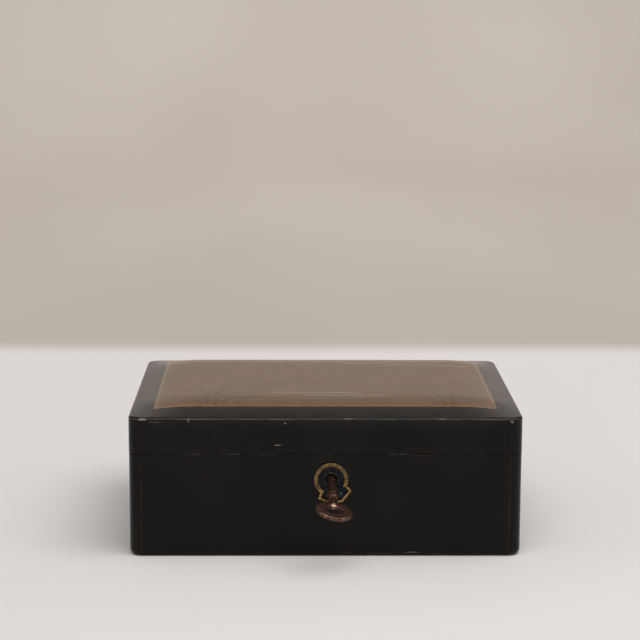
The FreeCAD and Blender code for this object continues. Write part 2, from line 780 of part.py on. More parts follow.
def build_escutcheon():
    plate_top = escutcheon_plate_thickness
    rim_top = plate_top + escutcheon_rim_height
    plate = escutcheon_outline(escutcheon_plate_margin, escutcheon_plate_margin, 0, plate_top)
    hole_shift = lock_x - escutcheon_x
    lip = Part.makeCylinder(
        keyhole_radius / math.cos(slope) + keyhole_lip,
        plate_top + keyhole_lip_height,
        Vector(hole_shift, 0, 0),
    )
    plate = placed(plate.fuse(lip), escutcheon_frame).cut(keyway(board, board))
    holes = [
        Part.makeCylinder(escutcheon_pin_shank + nail_fit, plate_top, Vector(x, y, 0))
        for x, y in escutcheon_pin_places
    ]
    save("escutcheon_plate", plate.cut(placed(Part.makeCompound(holes), escutcheon_frame)))

    rim = escutcheon_outline(0, 0, plate_top, rim_top)
    rim = rim.cut(escutcheon_outline(rim_bar, skirt_bar, plate_top, rim_top))
    rim = rim.makeFillet(escutcheon_edge_radius, edges_at(rim, rim_top))
    half_gap = reed_skirt_angle / 2
    for k in range(reed_count):
        angle = -90 + (k + 0.5) * 360 / reed_count
        if half_gap < (angle + 90) < 360 - half_gap:
            groove = box(
                (rim_radius - rim_bar - overrun, -reed_width / 2, rim_top - reed_depth),
                (rim_radius + overrun, reed_width / 2, rim_top + overrun),
            )
            groove.rotate(Vector(0, 0, 0), Vector(0, 0, 1), angle)
            rim = rim.cut(groove)
    save("escutcheon_rim", placed(rim, escutcheon_frame))

    pins = []
    for x, y in escutcheon_pin_places:
        shank = Part.makeCylinder(
            escutcheon_pin_shank, escutcheon_pin_length + plate_top, Vector(x, y, -escutcheon_pin_length)
        )
        ball = Part.makeSphere(escutcheon_pin_head, Vector(x, y, plate_top))
        cap = ball.common(
            box(
                (x - escutcheon_pin_head, y - escutcheon_pin_head, plate_top),
                (x + escutcheon_pin_head, y + escutcheon_pin_head, plate_top + escutcheon_pin_head_height),
            )
        )
        pins.append(placed(shank.fuse(cap).removeSplitter(), escutcheon_frame))
    save("escutcheon_pins", *pins)


def build_tray():
    """The lift-out tray, notched at the front to pass the lock."""
    outline = [
        (-tray_half_width, -tray_half_depth),
        (notch_left, -tray_half_depth),
        (notch_left, notch_back),
        (notch_right, notch_back),
        (notch_right, -tray_half_depth),
        (tray_half_width, -tray_half_depth),
        (tray_half_width, tray_half_depth),
        (-tray_half_width, tray_half_depth),
    ]
    save("tray_floor", prism(outline, tray_bottom, tray_floor_top))

    inner_half = tray_inner_half_width
    inner_back = tray_inner_half_depth
    inner_front = -inner_back
    for name, side in (("tray_left_wall", -1), ("tray_right_wall", 1)):
        x0, x1 = sorted((side * tray_half_width, side * inner_half))
        save(name, box((x0, -tray_half_depth, tray_floor_top), (x1, tray_half_depth, tray_top)))
    back_wall = box((-inner_half, inner_back, tray_floor_top), (inner_half, tray_half_depth, tray_top))
    save("tray_back_wall", back_wall)
    front_path = [
        (-inner_half, -tray_half_depth),
        (notch_left, -tray_half_depth),
        (notch_left, notch_back),
        (notch_right, notch_back),
        (notch_right, -tray_half_depth),
        (inner_half, -tray_half_depth),
        (inner_half, inner_front),
        (notch_right + tray_wall, inner_front),
        (notch_right + tray_wall, notch_back + tray_wall),
        (notch_left - tray_wall, notch_back + tray_wall),
        (notch_left - tray_wall, inner_front),
        (-inner_half, inner_front),
    ]
    save("tray_front_wall", prism(front_path, tray_floor_top, tray_top))
    dividers = [
        box(
            (x - tray_divider_thickness / 2, inner_front, tray_floor_top),
            (x + tray_divider_thickness / 2, inner_back, tray_floor_top + tray_divider_height),
        )
        for x in (left_divider_x, right_divider_x)
    ]
    notch_wall = box(
        (notch_left - tray_wall, -tray_half_depth, tray_floor_top),
        (notch_right + tray_wall, notch_back + tray_wall, tray_top),
    )
    save("tray_dividers", *[divider.cut(notch_wall) for divider in dividers])


def build_inkstone():
    """A flat grinding face that slopes down into a pond at the back."""
    top = inkstone_height
    stone = rounded_slab(inkstone_width, inkstone_length, inkstone_corner, 0, top)
    stone = stone.makeFillet(inkstone_edge_radius, edges_at(stone, top))
    face = rounded_slab(
        inkstone_width - 2 * inkstone_rim,
        inkstone_length - 2 * inkstone_rim,
        inkstone_face_corner,
        top - inkstone_face_depth,
        top + overrun,
    )
    pond_back = inkstone_length / 2 - inkstone_rim - inkstone_pond_inset
    pond_front = pond_back - inkstone_pond_length
    slope_start = pond_front - inkstone_slope_length
    half_pond = inkstone_width / 2 - inkstone_rim - inkstone_pond_inset
    profile = [
        (slope_start, top - inkstone_face_depth + cut_overlap),
        (pond_front, top - inkstone_pond_depth),
        (pond_back, top - inkstone_pond_depth),
        (pond_back, top + overrun),
        (slope_start, top + overrun),
    ]
    corners = [Vector(-half_pond, y, z) for y, z in profile]
    pond = Part.Face(Part.makePolygon(corners + corners[:1])).extrude(Vector(2 * half_pond, 0, 0))
    stone = stone.cut(face).cut(pond)
    stone.translate(Vector(inkstone_x, 0, tool_seat))
    save("inkstone", stone)


def build_dropper():
    """The water dropper: an open metal case and a domed top with a spout hole and an air hole."""
    centre = Vector(dropper_x, dropper_y, tool_seat)
    case = rounded_slab(dropper_width, dropper_length, dropper_corner, 0, dropper_height)
    hollow = rounded_slab(
        dropper_width - 2 * dropper_wall,
        dropper_length - 2 * dropper_wall,
        dropper_corner - dropper_wall,
        dropper_wall,
        dropper_height + overrun,
    )
    case = case.cut(hollow)
    case.translate(centre)
    save("dropper_case", case)

    half_diagonal = math.hypot(dropper_width, dropper_length) / 2
    top_height = dropper_top_thickness + dropper_top_dome
    dome_radius = (half_diagonal**2 + dropper_top_dome**2) / (2 * dropper_top_dome)
    dome = Part.makeSphere(dome_radius, Vector(0, 0, dropper_height + top_height - dome_radius))
    top = rounded_slab(
        dropper_width, dropper_length, dropper_corner, dropper_height, dropper_height + top_height + overrun
    ).common(dome)
    across, along = dropper_hole_offset
    for side in (-1, 1):
        hole = Part.makeCylinder(
            dropper_hole_radius,
            top_height + 2 * overrun,
            Vector(side * across, side * along, dropper_height - overrun),
        )
        top = top.cut(hole)
    top.translate(centre)
    save("dropper_top", top)


def build_ink_stick():
    half_width = ink_stick_width / 2
    half_length = ink_stick_length / 2
    stick = box(
        (dropper_x - half_width, ink_stick_y - half_length, tool_seat),
        (dropper_x + half_width, ink_stick_y + half_length, tool_seat + ink_stick_thickness),
    )
    save("ink_stick", stick.makeFillet(ink_stick_edge_radius, stick.Edges))


def build_brushes():
    """Brushes that lie in the left compartment: a bamboo handle with a stepped end, and the hair."""
    along = Vector(0, 1, 0)
    height = tool_seat + brush_handle_radius
    handles = []
    hairs = []
    point = (brush_hair_length, brush_point_radius)
    profile = ((0, brush_ferrule_radius), brush_belly, brush_shoulder, point)
    start = -brush_length / 2
    for x in (brush_x, brush_x + brush_pitch):
        handle = Part.makeCylinder(
            brush_handle_radius, brush_handle_length, Vector(x, start, height), along
        )
        handle = handle.makeFillet(brush_handle_edge_radius, round_edges(handle))
        ferrule_start = start + brush_handle_length
        ferrule = Part.makeCylinder(
            brush_ferrule_radius, brush_ferrule_length, Vector(x, ferrule_start, height), along
        )
        handles.append(handle.fuse(ferrule).removeSplitter())
        hair_start = ferrule_start + brush_ferrule_length
        sections = []
        for distance, radius in profile:
            middle = Vector(x, hair_start + distance, height)
            sections.append(Part.Wire(Part.makeCircle(radius, middle, along)))
        hairs.append(Part.makeLoft(sections, True))
    save("brush_handles", *handles)
    save("brush_hair", *hairs)


build_body()
build_lid()
build_hinges()
build_lock()
build_link_plate()
build_escutcheon()
build_key()
build_tray()
build_inkstone()
build_dropper()
build_ink_stick()
build_brushes()
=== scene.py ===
import json
import math

import bmesh
import bpy
from mathutils import Matrix, Vector


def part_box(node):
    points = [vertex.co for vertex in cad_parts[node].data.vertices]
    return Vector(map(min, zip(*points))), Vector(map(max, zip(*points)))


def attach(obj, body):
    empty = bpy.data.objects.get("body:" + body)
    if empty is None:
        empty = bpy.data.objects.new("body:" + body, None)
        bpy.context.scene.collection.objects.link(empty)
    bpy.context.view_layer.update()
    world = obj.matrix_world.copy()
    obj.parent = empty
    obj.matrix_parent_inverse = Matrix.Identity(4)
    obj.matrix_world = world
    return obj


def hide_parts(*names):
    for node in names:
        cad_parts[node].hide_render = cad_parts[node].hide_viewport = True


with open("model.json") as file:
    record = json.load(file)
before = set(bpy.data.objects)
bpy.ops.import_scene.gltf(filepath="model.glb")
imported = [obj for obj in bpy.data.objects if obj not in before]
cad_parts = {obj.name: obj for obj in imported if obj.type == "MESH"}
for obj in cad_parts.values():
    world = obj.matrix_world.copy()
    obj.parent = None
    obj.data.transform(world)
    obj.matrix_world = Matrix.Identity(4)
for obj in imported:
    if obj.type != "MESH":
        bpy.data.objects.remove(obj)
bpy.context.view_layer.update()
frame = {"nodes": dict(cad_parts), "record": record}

# Finish, light and camera for a black-lacquered writing box with a pillowed, painted lid. What lies on a
# surface is given in millimetres, in the frame's axes. The camera, the room and the lights are in metres.
# Colours are linear.

MILLIMETRE = 0.001


def millimetres(node):
    """A node's lowest and highest corner."""
    low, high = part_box(node)
    return low / MILLIMETRE, high / MILLIMETRE


# Places that the frame gives
LID_HALF_WIDTH, LID_HALF_DEPTH = millimetres("lid_panel")[1].xy
FRONT_FACE = millimetres("front_board")[0].y
JOINT_X = millimetres("front_board")[1].x
BODY_TOP = millimetres("left_side_board")[1].z
RAIL_BOTTOM = millimetres("lid_front_rail")[0].z
PLATE_FACE = millimetres("escutcheon_plate")[0].y
RIM_FACE = millimetres("escutcheon_rim")[0].y


class Graph:
    """One material and short calls that add nodes to it."""

    def __init__(self, name):
        self.material = bpy.data.materials.new(name)
        self.material.use_nodes = True
        self.tree = self.material.node_tree
        self.tree.nodes.clear()
        self.shader = self.add("ShaderNodeBsdfPrincipled")
        output = self.add("ShaderNodeOutputMaterial")
        self.tree.links.new(self.shader.outputs["BSDF"], output.inputs["Surface"])
        coordinates = self.add("ShaderNodeTexCoord")
        self.normal = coordinates.outputs["Normal"]
        self.place = self.scale(coordinates.outputs["Object"], 1 / MILLIMETRE)

    def add(self, kind, **settings):
        node = self.tree.nodes.new(kind)
        for key, value in settings.items():
            setattr(node, key, value)
        return node

    def put(self, socket, value):
        if isinstance(value, bpy.types.NodeSocket):
            self.tree.links.new(value, socket)
        elif isinstance(value, tuple) and len(value) == 3 and socket.type == "RGBA":
            socket.default_value = (*value, 1.0)
        else:
            socket.default_value = value

    def set(self, **values):
        """Sets the shader's own sockets, such as Base_Color."""
        for name, value in values.items():
            self.put(self.shader.inputs[name.replace("_", " ")], value)

    def math(self, operation, *values):
        node = self.add("ShaderNodeMath", operation=operation)
        for socket, value in zip(node.inputs, values):
            self.put(socket, value)
        return node.outputs[0]

    def vector(self, operation, *values, output=0):
        node = self.add("ShaderNodeVectorMath", operation=operation)
        for socket, value in zip(node.inputs, values):
            self.put(socket, value)
        return node.outputs[output]

    def scale(self, vector, factor):
        node = self.add("ShaderNodeVectorMath", operation="SCALE")
        self.put(node.inputs[0], vector)
        self.put(node.inputs["Scale"], factor)
        return node.outputs[0]

    def axes(self, vector):
        node = self.add("ShaderNodeSeparateXYZ")
        self.put(node.inputs[0], vector)
        return node.outputs["X"], node.outputs["Y"], node.outputs["Z"]

    def remap(self, value, low, high, start=0.0, end=1.0, smooth=False):
        """Turns low to high into start to end, and holds it beyond."""
        node = self.add("ShaderNodeMapRange", interpolation_type="SMOOTHSTEP" if smooth else "LINEAR")
        for socket, item in zip(node.inputs, (value, low, high, start, end)):
            self.put(socket, item)
        return node.outputs[0]

    def mix(self, share, first, second):
        node = self.add("ShaderNodeMix", data_type="RGBA")
        self.put(node.inputs["Factor"], share)
        for name, colour in (("A", first), ("B", second)):
            socket = next(s for s in node.inputs if s.name == name and s.type == "RGBA")
            self.put(socket, colour)
        return next(s for s in node.outputs if s.type == "RGBA")

    def stretched(self, size, stretch, shift):
        """The place in units of size millimetres, longer by stretch along each axis."""
        shrink = tuple(1 / (size * s) for s in stretch)
        return self.vector("ADD", self.vector("MULTIPLY", self.place, shrink), (shift, shift, shift))

    def noise(self, size, stretch=(1.0, 1.0, 1.0), detail=3.0, distortion=0.0, shift=0.0, output="Fac"):
        """Noise from 0 to 1 whose blobs are about size millimetres across."""
        node = self.add("ShaderNodeTexNoise")
        self.put(node.inputs["Vector"], self.stretched(size, stretch, shift))
        self.put(node.inputs["Scale"], 1.0)
        self.put(node.inputs["Detail"], detail)
        self.put(node.inputs["Distortion"], distortion)
        return node.outputs[output]

    def patches(self, size, low, high, start=0.0, end=1.0, **settings):
        """Noise whose values from low to high become start to end."""
        return self.remap(self.noise(size, **settings), low, high, start, end)

    def cells(self, size, stretch=(1.0, 1.0, 1.0), shift=0.0):
        """Distance to the nearest of points that are about size millimetres apart."""
        node = self.add("ShaderNodeTexVoronoi")
        self.put(node.inputs["Vector"], self.stretched(size, stretch, shift))
        self.put(node.inputs["Scale"], 1.0)
        return node.outputs["Distance"]

    def near(self, value, middle, reach):
        """1 where value is at middle, falling to 0 at reach from it."""
        return self.remap(self.apart(value, middle), 0.0, reach, 1.0, 0.0)

    def apart(self, value, other):
        return self.math("ABSOLUTE", self.math("SUBTRACT", value, other))

    def bump(self, height, depth, strength):
        """Bumps of depth millimetres where height goes from 0 to 1."""
        node = self.add("ShaderNodeBump")
        self.put(node.inputs["Height"], height)
        self.put(node.inputs["Distance"], depth * MILLIMETRE)
        self.put(node.inputs["Strength"], strength)
        self.put(self.shader.inputs["Normal"], node.outputs["Normal"])

    def product(self, *values):
        result = values[0]
        for value in values[1:]:
            result = self.math("MULTIPLY", result, value)
        return result

    def most(self, *values):
        result = values[0]
        for value in values[1:]:
            result = self.math("MAXIMUM", result, value)
        return result

    def stroke(self, place, start, end, start_width, end_width, softness):
        """A painted stroke that tapers from start to end, seen from above, with the half width at each."""
        ax, ay = start
        bx, by = end
        length_squared = (bx - ax) ** 2 + (by - ay) ** 2
        along = (bx - ax, by - ay, 0.0)
        offset = self.vector("SUBTRACT", place, (ax, ay, 0.0))
        share = self.vector("DOT_PRODUCT", offset, tuple(v / length_squared for v in along), output="Value")
        share = self.remap(share, 0.0, 1.0)
        beside = self.vector("SUBTRACT", offset, self.scale(along, share))
        distance = self.vector("LENGTH", beside, output="Value")
        width = self.remap(share, 0.0, 1.0, start_width, end_width)
        beyond = self.math("SUBTRACT", distance, width)
        return self.remap(beyond, -softness, softness, 1.0, 0.0, smooth=True)


# Black lacquer, and the wood that shows where it is worn; the pale wood also paints the lid edge's highlight
LACQUER_BLACK = (0.0022, 0.002, 0.0018)
LACQUER_WARM = (0.006, 0.0045, 0.0035)
LACQUER_ROUGHNESS = (0.16, 0.26)
LACQUER_IOR = 1.25
WOOD_RED = (0.075, 0.022, 0.012)
WOOD_PALE_AND_HIGHLIGHT = (0.23, 0.2, 0.175)
RED_STRENGTH = 0.7
WORN_ROUGHNESS = 0.3
WORN_DEPTH = 1.5
# Where the front and the outside faces fade: back from the front face, and out from the lid's sides
FRONT_REACH = (0.3, 3.0)
OUTSIDE_REACH = (-1.6, -0.8)

# Wear along edges, as the middle and half width of its band. The front's joints are fainter on the lid.
JOINT_HALF_WIDTH = 0.6
JOINT_ON_LID = 0.35
JOINT_FADES = (BODY_TOP - 0.6, BODY_TOP + 1.4)
BODY_EDGE_WEAR = (BODY_TOP - 0.2, 0.8)
BODY_EDGE_WEAR_X = (74.0, 24.0)
FOOT_WEAR = (1.5, 2.6)
SEAM_WEAR = (RAIL_BOTTOM + 0.3, 0.6)
SEAM_STRENGTH = 0.4

# Chips on the front, one by one: middle x and z, half width and height, and how pale each is
CHIPS = (
    (-139.0, 107.3, 3.6, 0.8, 0.95),
    (-129.0, 105.2, 5.5, 0.25, 0.5),
    (-104.0, 106.6, 0.5, 1.7, 0.75),
    (-30.6, 104.4, 0.7, 0.6, 0.8),
    (-36.7, 87.5, 3.0, 0.45, 0.75),
    (18.0, 107.9, 4.0, 0.3, 0.5),
    (88.0, 107.8, 3.0, 0.3, 0.5),
    (66.0, 3.2, 5.5, 0.7, 0.35),
    (141.0, 105.6, 1.4, 1.0, 0.8),
    (-147.5, 66.5, 1.2, 1.8, 0.5),
    (-147.8, 75.5, 0.9, 1.2, 0.4),
    (147.6, 65.5, 0.9, 1.6, 0.4),
)
# Where a chip's edge fades, and how ragged it is, as squared shares of its radius
CHIP_EDGE = (0.7, 1.1)
CHIP_RAGGED = 0.6


def lacquer(graph):
    """Black lacquer on wood: its colour, roughness and height before wear."""
    grain = graph.noise(1.6, stretch=(40.0, 40.0, 1.0), detail=4.0, shift=7.0)
    ripple = graph.noise(9.0, shift=11.0)
    return (
        graph.mix(graph.patches(60.0, 0.35, 0.7, detail=4.0), LACQUER_BLACK, LACQUER_WARM),
        graph.patches(18.0, 0.3, 0.7, *LACQUER_ROUGHNESS, detail=5.0, shift=3.0),
        graph.math("ADD", graph.product(grain, 0.6), graph.product(ripple, 0.4)),
    )


def chipped(graph, x, z):
    """How pale the chips make each place on the front."""
    ragged = graph.patches(1.2, 0.3, 0.7, -CHIP_RAGGED, CHIP_RAGGED)
    pale = 0.0
    for middle_x, middle_z, half_width, half_height, tone in CHIPS:
        across = graph.math("DIVIDE", graph.math("SUBTRACT", x, middle_x), half_width)
        up = graph.math("DIVIDE", graph.math("SUBTRACT", z, middle_z), half_height)
        radius = graph.math("ADD", graph.product(across, across), graph.product(up, up))
        radius = graph.math("ADD", radius, ragged)
        pale = graph.most(pale, graph.remap(radius, *CHIP_EDGE, tone, 0.0))
    return pale


def on_front(graph, y, near, far):
    """1 on the front face, falling to 0 between near and far millimetres behind it."""
    return graph.remap(y, FRONT_FACE + near, FRONT_FACE + far, 1.0, 0.0)


def black_lacquer():
    """The box's sides and the lid's rails, with worn joints, seam, foot and chips."""
    graph = Graph("black_lacquer")
    x, y, z = graph.axes(graph.place)
    colour, roughness, height = lacquer(graph)
    front = on_front(graph, y, *FRONT_REACH)
    beyond_x = graph.math("SUBTRACT", graph.math("ABSOLUTE", x), LID_HALF_WIDTH)
    beyond_y = graph.math("SUBTRACT", graph.math("ABSOLUTE", y), LID_HALF_DEPTH)
    outside = graph.remap(graph.most(beyond_x, beyond_y), *OUTSIDE_REACH)

    def broken(size, low, high, shift):
        """Patches strung along an edge."""
        return graph.patches(size, low, high, stretch=(3.0, 3.0, 0.6), detail=5.0, shift=shift)

    below_lid = graph.remap(z, *JOINT_FADES, 1.0, JOINT_ON_LID)
    joint = graph.near(graph.math("ABSOLUTE", x), JOINT_X, JOINT_HALF_WIDTH)
    joint = graph.product(joint, front, broken(6.0, 0.4, 0.56, 1.0), below_lid)
    body_edge = graph.product(graph.near(z, *BODY_EDGE_WEAR), graph.near(x, *BODY_EDGE_WEAR_X))
    body_edge = graph.product(body_edge, broken(9.0, 0.42, 0.52, 5.0))
    foot = graph.product(graph.near(z, *FOOT_WEAR), broken(7.0, 0.55, 0.64, 9.0))
    reddish = graph.product(graph.most(joint, body_edge, foot), outside)
    colour = graph.mix(graph.product(reddish, RED_STRENGTH), colour, WOOD_RED)

    seam = graph.product(graph.near(z, *SEAM_WEAR), broken(5.0, 0.55, 0.64, 13.0), outside, SEAM_STRENGTH)
    pale = graph.most(seam, graph.product(chipped(graph, x, z), front))
    colour = graph.mix(pale, colour, WOOD_PALE_AND_HIGHLIGHT)
    worn = graph.most(pale, reddish)
    roughness = graph.math("ADD", roughness, graph.product(worn, WORN_ROUGHNESS))
    graph.set(Base_Color=colour, Roughness=roughness, IOR=LACQUER_IOR)
    relief = graph.math("SUBTRACT", height, graph.product(worn, WORN_DEPTH))
    graph.bump(relief, depth=0.05, strength=0.35)
    return graph.material


# Lid's top: a black border, which is wider at the front, a gold line and the painted field
LINE_OUTER = 18.4
LINE_WIDTH = 2.6
LINE_SOFT = 0.45
LINE_RAGGED = 0.12
LINE_INNER = LINE_OUTER + LINE_WIDTH
FRONT_MARGIN = 1.8
FIELD_FRONT = LINE_INNER + FRONT_MARGIN - LID_HALF_DEPTH
# How far up a surface faces before it counts as the top
TOP_FACING = (0.75, 0.85)
TOP_IOR = 1.285
# The top's roughness as a share of the sides', and what the field's streaks add to it
TOP_POLISH = 0.6
FIELD_ROUGHNESS = (0.02, 0.12)

# The rubbed line along the lid's edge, which is partly wear and partly a painted highlight: middle and half
# width of its band, how far in from the side it fades, and how pale it is where it is least and most worn
ARRIS_BAND = (107.3, 0.5)
ARRIS_REACH = (1.5, 3.0)
ARRIS_WEAR_AND_HIGHLIGHT = (0.25, 0.75)
ARRIS_ROUGHNESS = 0.25
# Where the chips fade, back from the front face
CHIP_REACH = (0.3, 6.0)

FIELD_DARK = (0.074, 0.036, 0.013)
FIELD_LIGHT = (0.15, 0.08, 0.033)
FIELD_RED = (0.15, 0.06, 0.03)
FIELD_SLOPE = (0.17, 0.07, 0.03)
SLOPE_WIDTH = 16.0
GOLD = (0.2, 0.12, 0.055)
GOLD_WORN = (0.13, 0.08, 0.045)
MIST = (0.24, 0.19, 0.105)
REED_BROWN = (0.035, 0.022, 0.016)
SEED_RED = (0.24, 0.045, 0.03)

# Painting on the field, in its own generic layout: mist bands, and reeds that rise from the field's front
# edge. A band goes from start to end, with the half width at each. A reed has its foot's x, its lean, its
# bend and how far back it reaches, and carries small red seeds towards its tip.
MIST_BANDS = (
    ((18.0, 62.0), (96.0, 62.0), 2.6, 1.6),
    ((52.0, 53.0), (118.0, 53.0), 1.8, 2.4),
    ((-40.0, -56.0), (26.0, -56.0), 2.2, 2.8),
    ((-14.0, -66.0), (48.0, -66.0), 2.0, 1.4),
)
MIST_SOFT = 1.2
MIST_STRENGTH = 0.8
REEDS = (
    (-70.0, 0.45, 0.004, 92.0),
    (-78.0, 0.1, 0.0036, 128.0),
    (-84.0, -0.05, 0.002, 150.0),
    (-90.0, -0.1, -0.001, 120.0),
    (-96.0, -0.2, -0.003, 70.0),
    (92.0, -0.1, -0.0022, 96.0),
    (98.0, 0.05, 0.0008, 74.0),
    (86.0, -0.35, -0.004, 62.0),
)
REED_FOOT_HALF_WIDTH = 1.1
REED_TIP_HALF_WIDTH = 0.3
REED_TIP_LENGTH = 2.0
REED_EDGE = (-0.4, 0.5)
REED_STRENGTH = 0.65
SEEDS_START = 0.66
SEEDS_HALF_WIDTHS = (7.0, 3.5)
SEEDS_SOFT = 4.0
SEED_SPACING = 2.8
SEED_EDGE = (0.3, 0.48)
SEED_STRENGTH = 0.85
# How far the brush wandered, and over what length
WANDER = 4.0
WANDER_LENGTH = 9.0


def painted_lacquer():
    """The lid's top: black border, worn gold line and a brown field with faint mist and reeds."""
    graph = Graph("painted_lacquer")
    x, y, z = graph.axes(graph.place)
    colour, roughness, height = lacquer(graph)
    on_top = graph.remap(graph.axes(graph.normal)[2], *TOP_FACING)
    inset_x = graph.math("SUBTRACT", LID_HALF_WIDTH, graph.math("ABSOLUTE", x))
    inset_y = graph.math("SUBTRACT", LID_HALF_DEPTH - FRONT_MARGIN / 2, graph.apart(y, FRONT_MARGIN / 2))
    inset = graph.math("MINIMUM", inset_x, inset_y)
    ragged = graph.math("ADD", inset, graph.patches(6.0, 0.3, 0.7, -LINE_RAGGED, LINE_RAGGED))
    within_line = graph.remap(ragged, LINE_OUTER - LINE_SOFT, LINE_OUTER + LINE_SOFT)
    field = graph.remap(ragged, LINE_INNER - LINE_SOFT, LINE_INNER + LINE_SOFT)
    line = graph.product(within_line, graph.math("SUBTRACT", 1.0, field))

    streaks = graph.noise(5.0, stretch=(9.0, 1.0, 1.0), detail=6.0, shift=2.0)
    brown = graph.mix(graph.remap(streaks, 0.3, 0.7), FIELD_DARK, FIELD_LIGHT)
    clouds = graph.noise(42.0, stretch=(1.6, 1.0, 1.0), detail=4.0, distortion=0.6, shift=5.0)
    brown = graph.mix(graph.remap(clouds, 0.45, 0.68, 0.0, 0.7), brown, FIELD_RED)
    slope = graph.remap(inset_y, LINE_INNER, LINE_INNER + SLOPE_WIDTH, 0.5, 0.0, smooth=True)
    brown = paint(graph, graph.mix(slope, brown, FIELD_SLOPE))
    worn_gold = graph.mix(graph.patches(5.0, 0.38, 0.6, detail=5.0, shift=4.0), GOLD_WORN, GOLD)
    colour = graph.mix(graph.product(field, on_top), colour, brown)
    colour = graph.mix(graph.product(line, on_top), colour, worn_gold)

    # Painted highlight, partly wear: pale broken patches along the lid's rounded edge, in the pale wood
    # colour
    rub = graph.patches(3.0, 0.42, 0.66, *ARRIS_WEAR_AND_HIGHLIGHT, stretch=(4.0, 4.0, 1.0), detail=5.0, shift=6.0)
    arris_wear_and_highlight = graph.product(graph.near(z, *ARRIS_BAND), rub, graph.remap(inset, *ARRIS_REACH, 1.0, 0.0))
    colour = graph.mix(arris_wear_and_highlight, colour, WOOD_PALE_AND_HIGHLIGHT)
    chips = graph.product(chipped(graph, x, z), on_front(graph, y, *CHIP_REACH))
    colour = graph.mix(chips, colour, WOOD_PALE_AND_HIGHLIGHT)
    roughness = graph.product(roughness, TOP_POLISH)
    roughness = graph.math("ADD", roughness, graph.product(arris_wear_and_highlight, ARRIS_ROUGHNESS))
    dry = graph.product(field, graph.remap(streaks, 0.3, 0.7, *FIELD_ROUGHNESS))
    graph.set(Base_Color=colour, Roughness=graph.math("ADD", roughness, dry), IOR=TOP_IOR)
    relief = graph.math("ADD", height, graph.product(line, 0.6))
    graph.bump(graph.math("SUBTRACT", relief, arris_wear_and_highlight), depth=0.06, strength=0.35)
    return graph.material


def wandering(graph):
    """The place seen from above, moved about as a brush wanders."""
    wander = graph.noise(WANDER_LENGTH, output="Color")
    wander = graph.vector("SUBTRACT", wander, (0.5, 0.5, 0.5))
    wander = graph.vector("MULTIPLY", wander, (WANDER, WANDER, 0.0))
    return graph.vector("ADD", graph.vector("MULTIPLY", graph.place, (1.0, 1.0, 0.0)), wander)


def reed(graph, place, foot, lean, bend, height):
    """Where one reed's curved stem is."""
    x, y = graph.axes(place)[:2]
    rise = graph.math("SUBTRACT", y, FIELD_FRONT)
    middle = graph.math("MULTIPLY_ADD", rise, graph.math("MULTIPLY_ADD", rise, bend, lean), foot)
    width = graph.remap(rise, 0.0, height, REED_FOOT_HALF_WIDTH, REED_TIP_HALF_WIDTH)
    beyond = graph.math("SUBTRACT", graph.apart(x, middle), width)
    stem = graph.remap(beyond, *REED_EDGE, 1.0, 0.0, smooth=True)
    return graph.product(stem, graph.remap(rise, height - REED_TIP_LENGTH, height, 1.0, 0.0))


def seeds(graph, place, foot, lean, bend, height):
    """Where one reed's seeds may be."""
    ends = []
    for rise in (SEEDS_START * height, height):
        ends.append((foot + lean * rise + bend * rise * rise, FIELD_FRONT + rise))
    return graph.stroke(place, *ends, *SEEDS_HALF_WIDTHS, SEEDS_SOFT)


def paint(graph, ground):
    """Faded painting on the field."""
    place = wandering(graph)
    worn = graph.patches(3.0, 0.36, 0.6, 0.25, 1.0, detail=5.0, shift=8.0)
    mist = graph.most(*(graph.stroke(place, *band, MIST_SOFT) for band in MIST_BANDS))
    ground = graph.mix(graph.product(mist, worn, MIST_STRENGTH), ground, MIST)
    stems = graph.most(*(reed(graph, place, *values) for values in REEDS))
    ground = graph.mix(graph.product(stems, worn, REED_STRENGTH), ground, REED_BROWN)
    dots = graph.cells(SEED_SPACING, stretch=(1.0, 1.5, 1.0), shift=3.0)
    dots = graph.remap(dots, *SEED_EDGE, 1.0, 0.0)
    seedy = graph.most(*(seeds(graph, place, *values) for values in REEDS))
    return graph.mix(graph.product(seedy, dots, worn, SEED_STRENGTH), ground, SEED_RED)


INNER_DARK = (0.022, 0.01, 0.007)
INNER_LIGHT = (0.045, 0.02, 0.012)
INNER_FLAKE = (0.45, 0.3, 0.11)


def inner_lacquer():
    """Dark brown lacquer with sparse gold flakes."""
    graph = Graph("inner_lacquer")
    ground = graph.mix(graph.patches(30.0, 0.3, 0.7, detail=4.0), INNER_DARK, INNER_LIGHT)
    flakes = graph.remap(graph.cells(1.3), 0.1, 0.16, 1.0, 0.0)
    flakes = graph.product(flakes, graph.patches(12.0, 0.42, 0.62, shift=5.0))
    graph.set(
        Base_Color=graph.mix(graph.product(flakes, 0.8), ground, INNER_FLAKE),
        Roughness=graph.patches(9.0, 0.3, 0.7, 0.24, 0.36, detail=4.0, shift=2.0),
        IOR=1.5,
    )
    graph.bump(graph.noise(7.0, stretch=(6.0, 6.0, 1.0), detail=4.0), depth=0.05, strength=0.3)
    return graph.material


# Metals: colour where clean and where tarnished
METALS = {
    "brass": ((0.6, 0.43, 0.19), (0.2, 0.12, 0.045)),
    "spring_steel": ((0.5, 0.5, 0.5), (0.16, 0.12, 0.1)),
    "pin_steel": ((0.08, 0.1, 0.12), (0.03, 0.034, 0.04)),
    "dropper_metal": ((0.42, 0.26, 0.15), (0.12, 0.075, 0.05)),
    "escutcheon_brass": ((0.4, 0.26, 0.105), (0.15, 0.09, 0.036)),
    "dark_brass": ((0.022, 0.025, 0.03), (0.004, 0.005, 0.007)),
    "key_copper": ((0.25, 0.12, 0.08), (0.05, 0.022, 0.016)),
}
SCRATCH_SHADE = 0.7
TARNISHED_METALLIC = 0.75
REED_GROOVE = (0.02, 0.013, 0.008)
LIP_WORN_AND_HIGHLIGHT = (0.2, 0.17, 0.11)


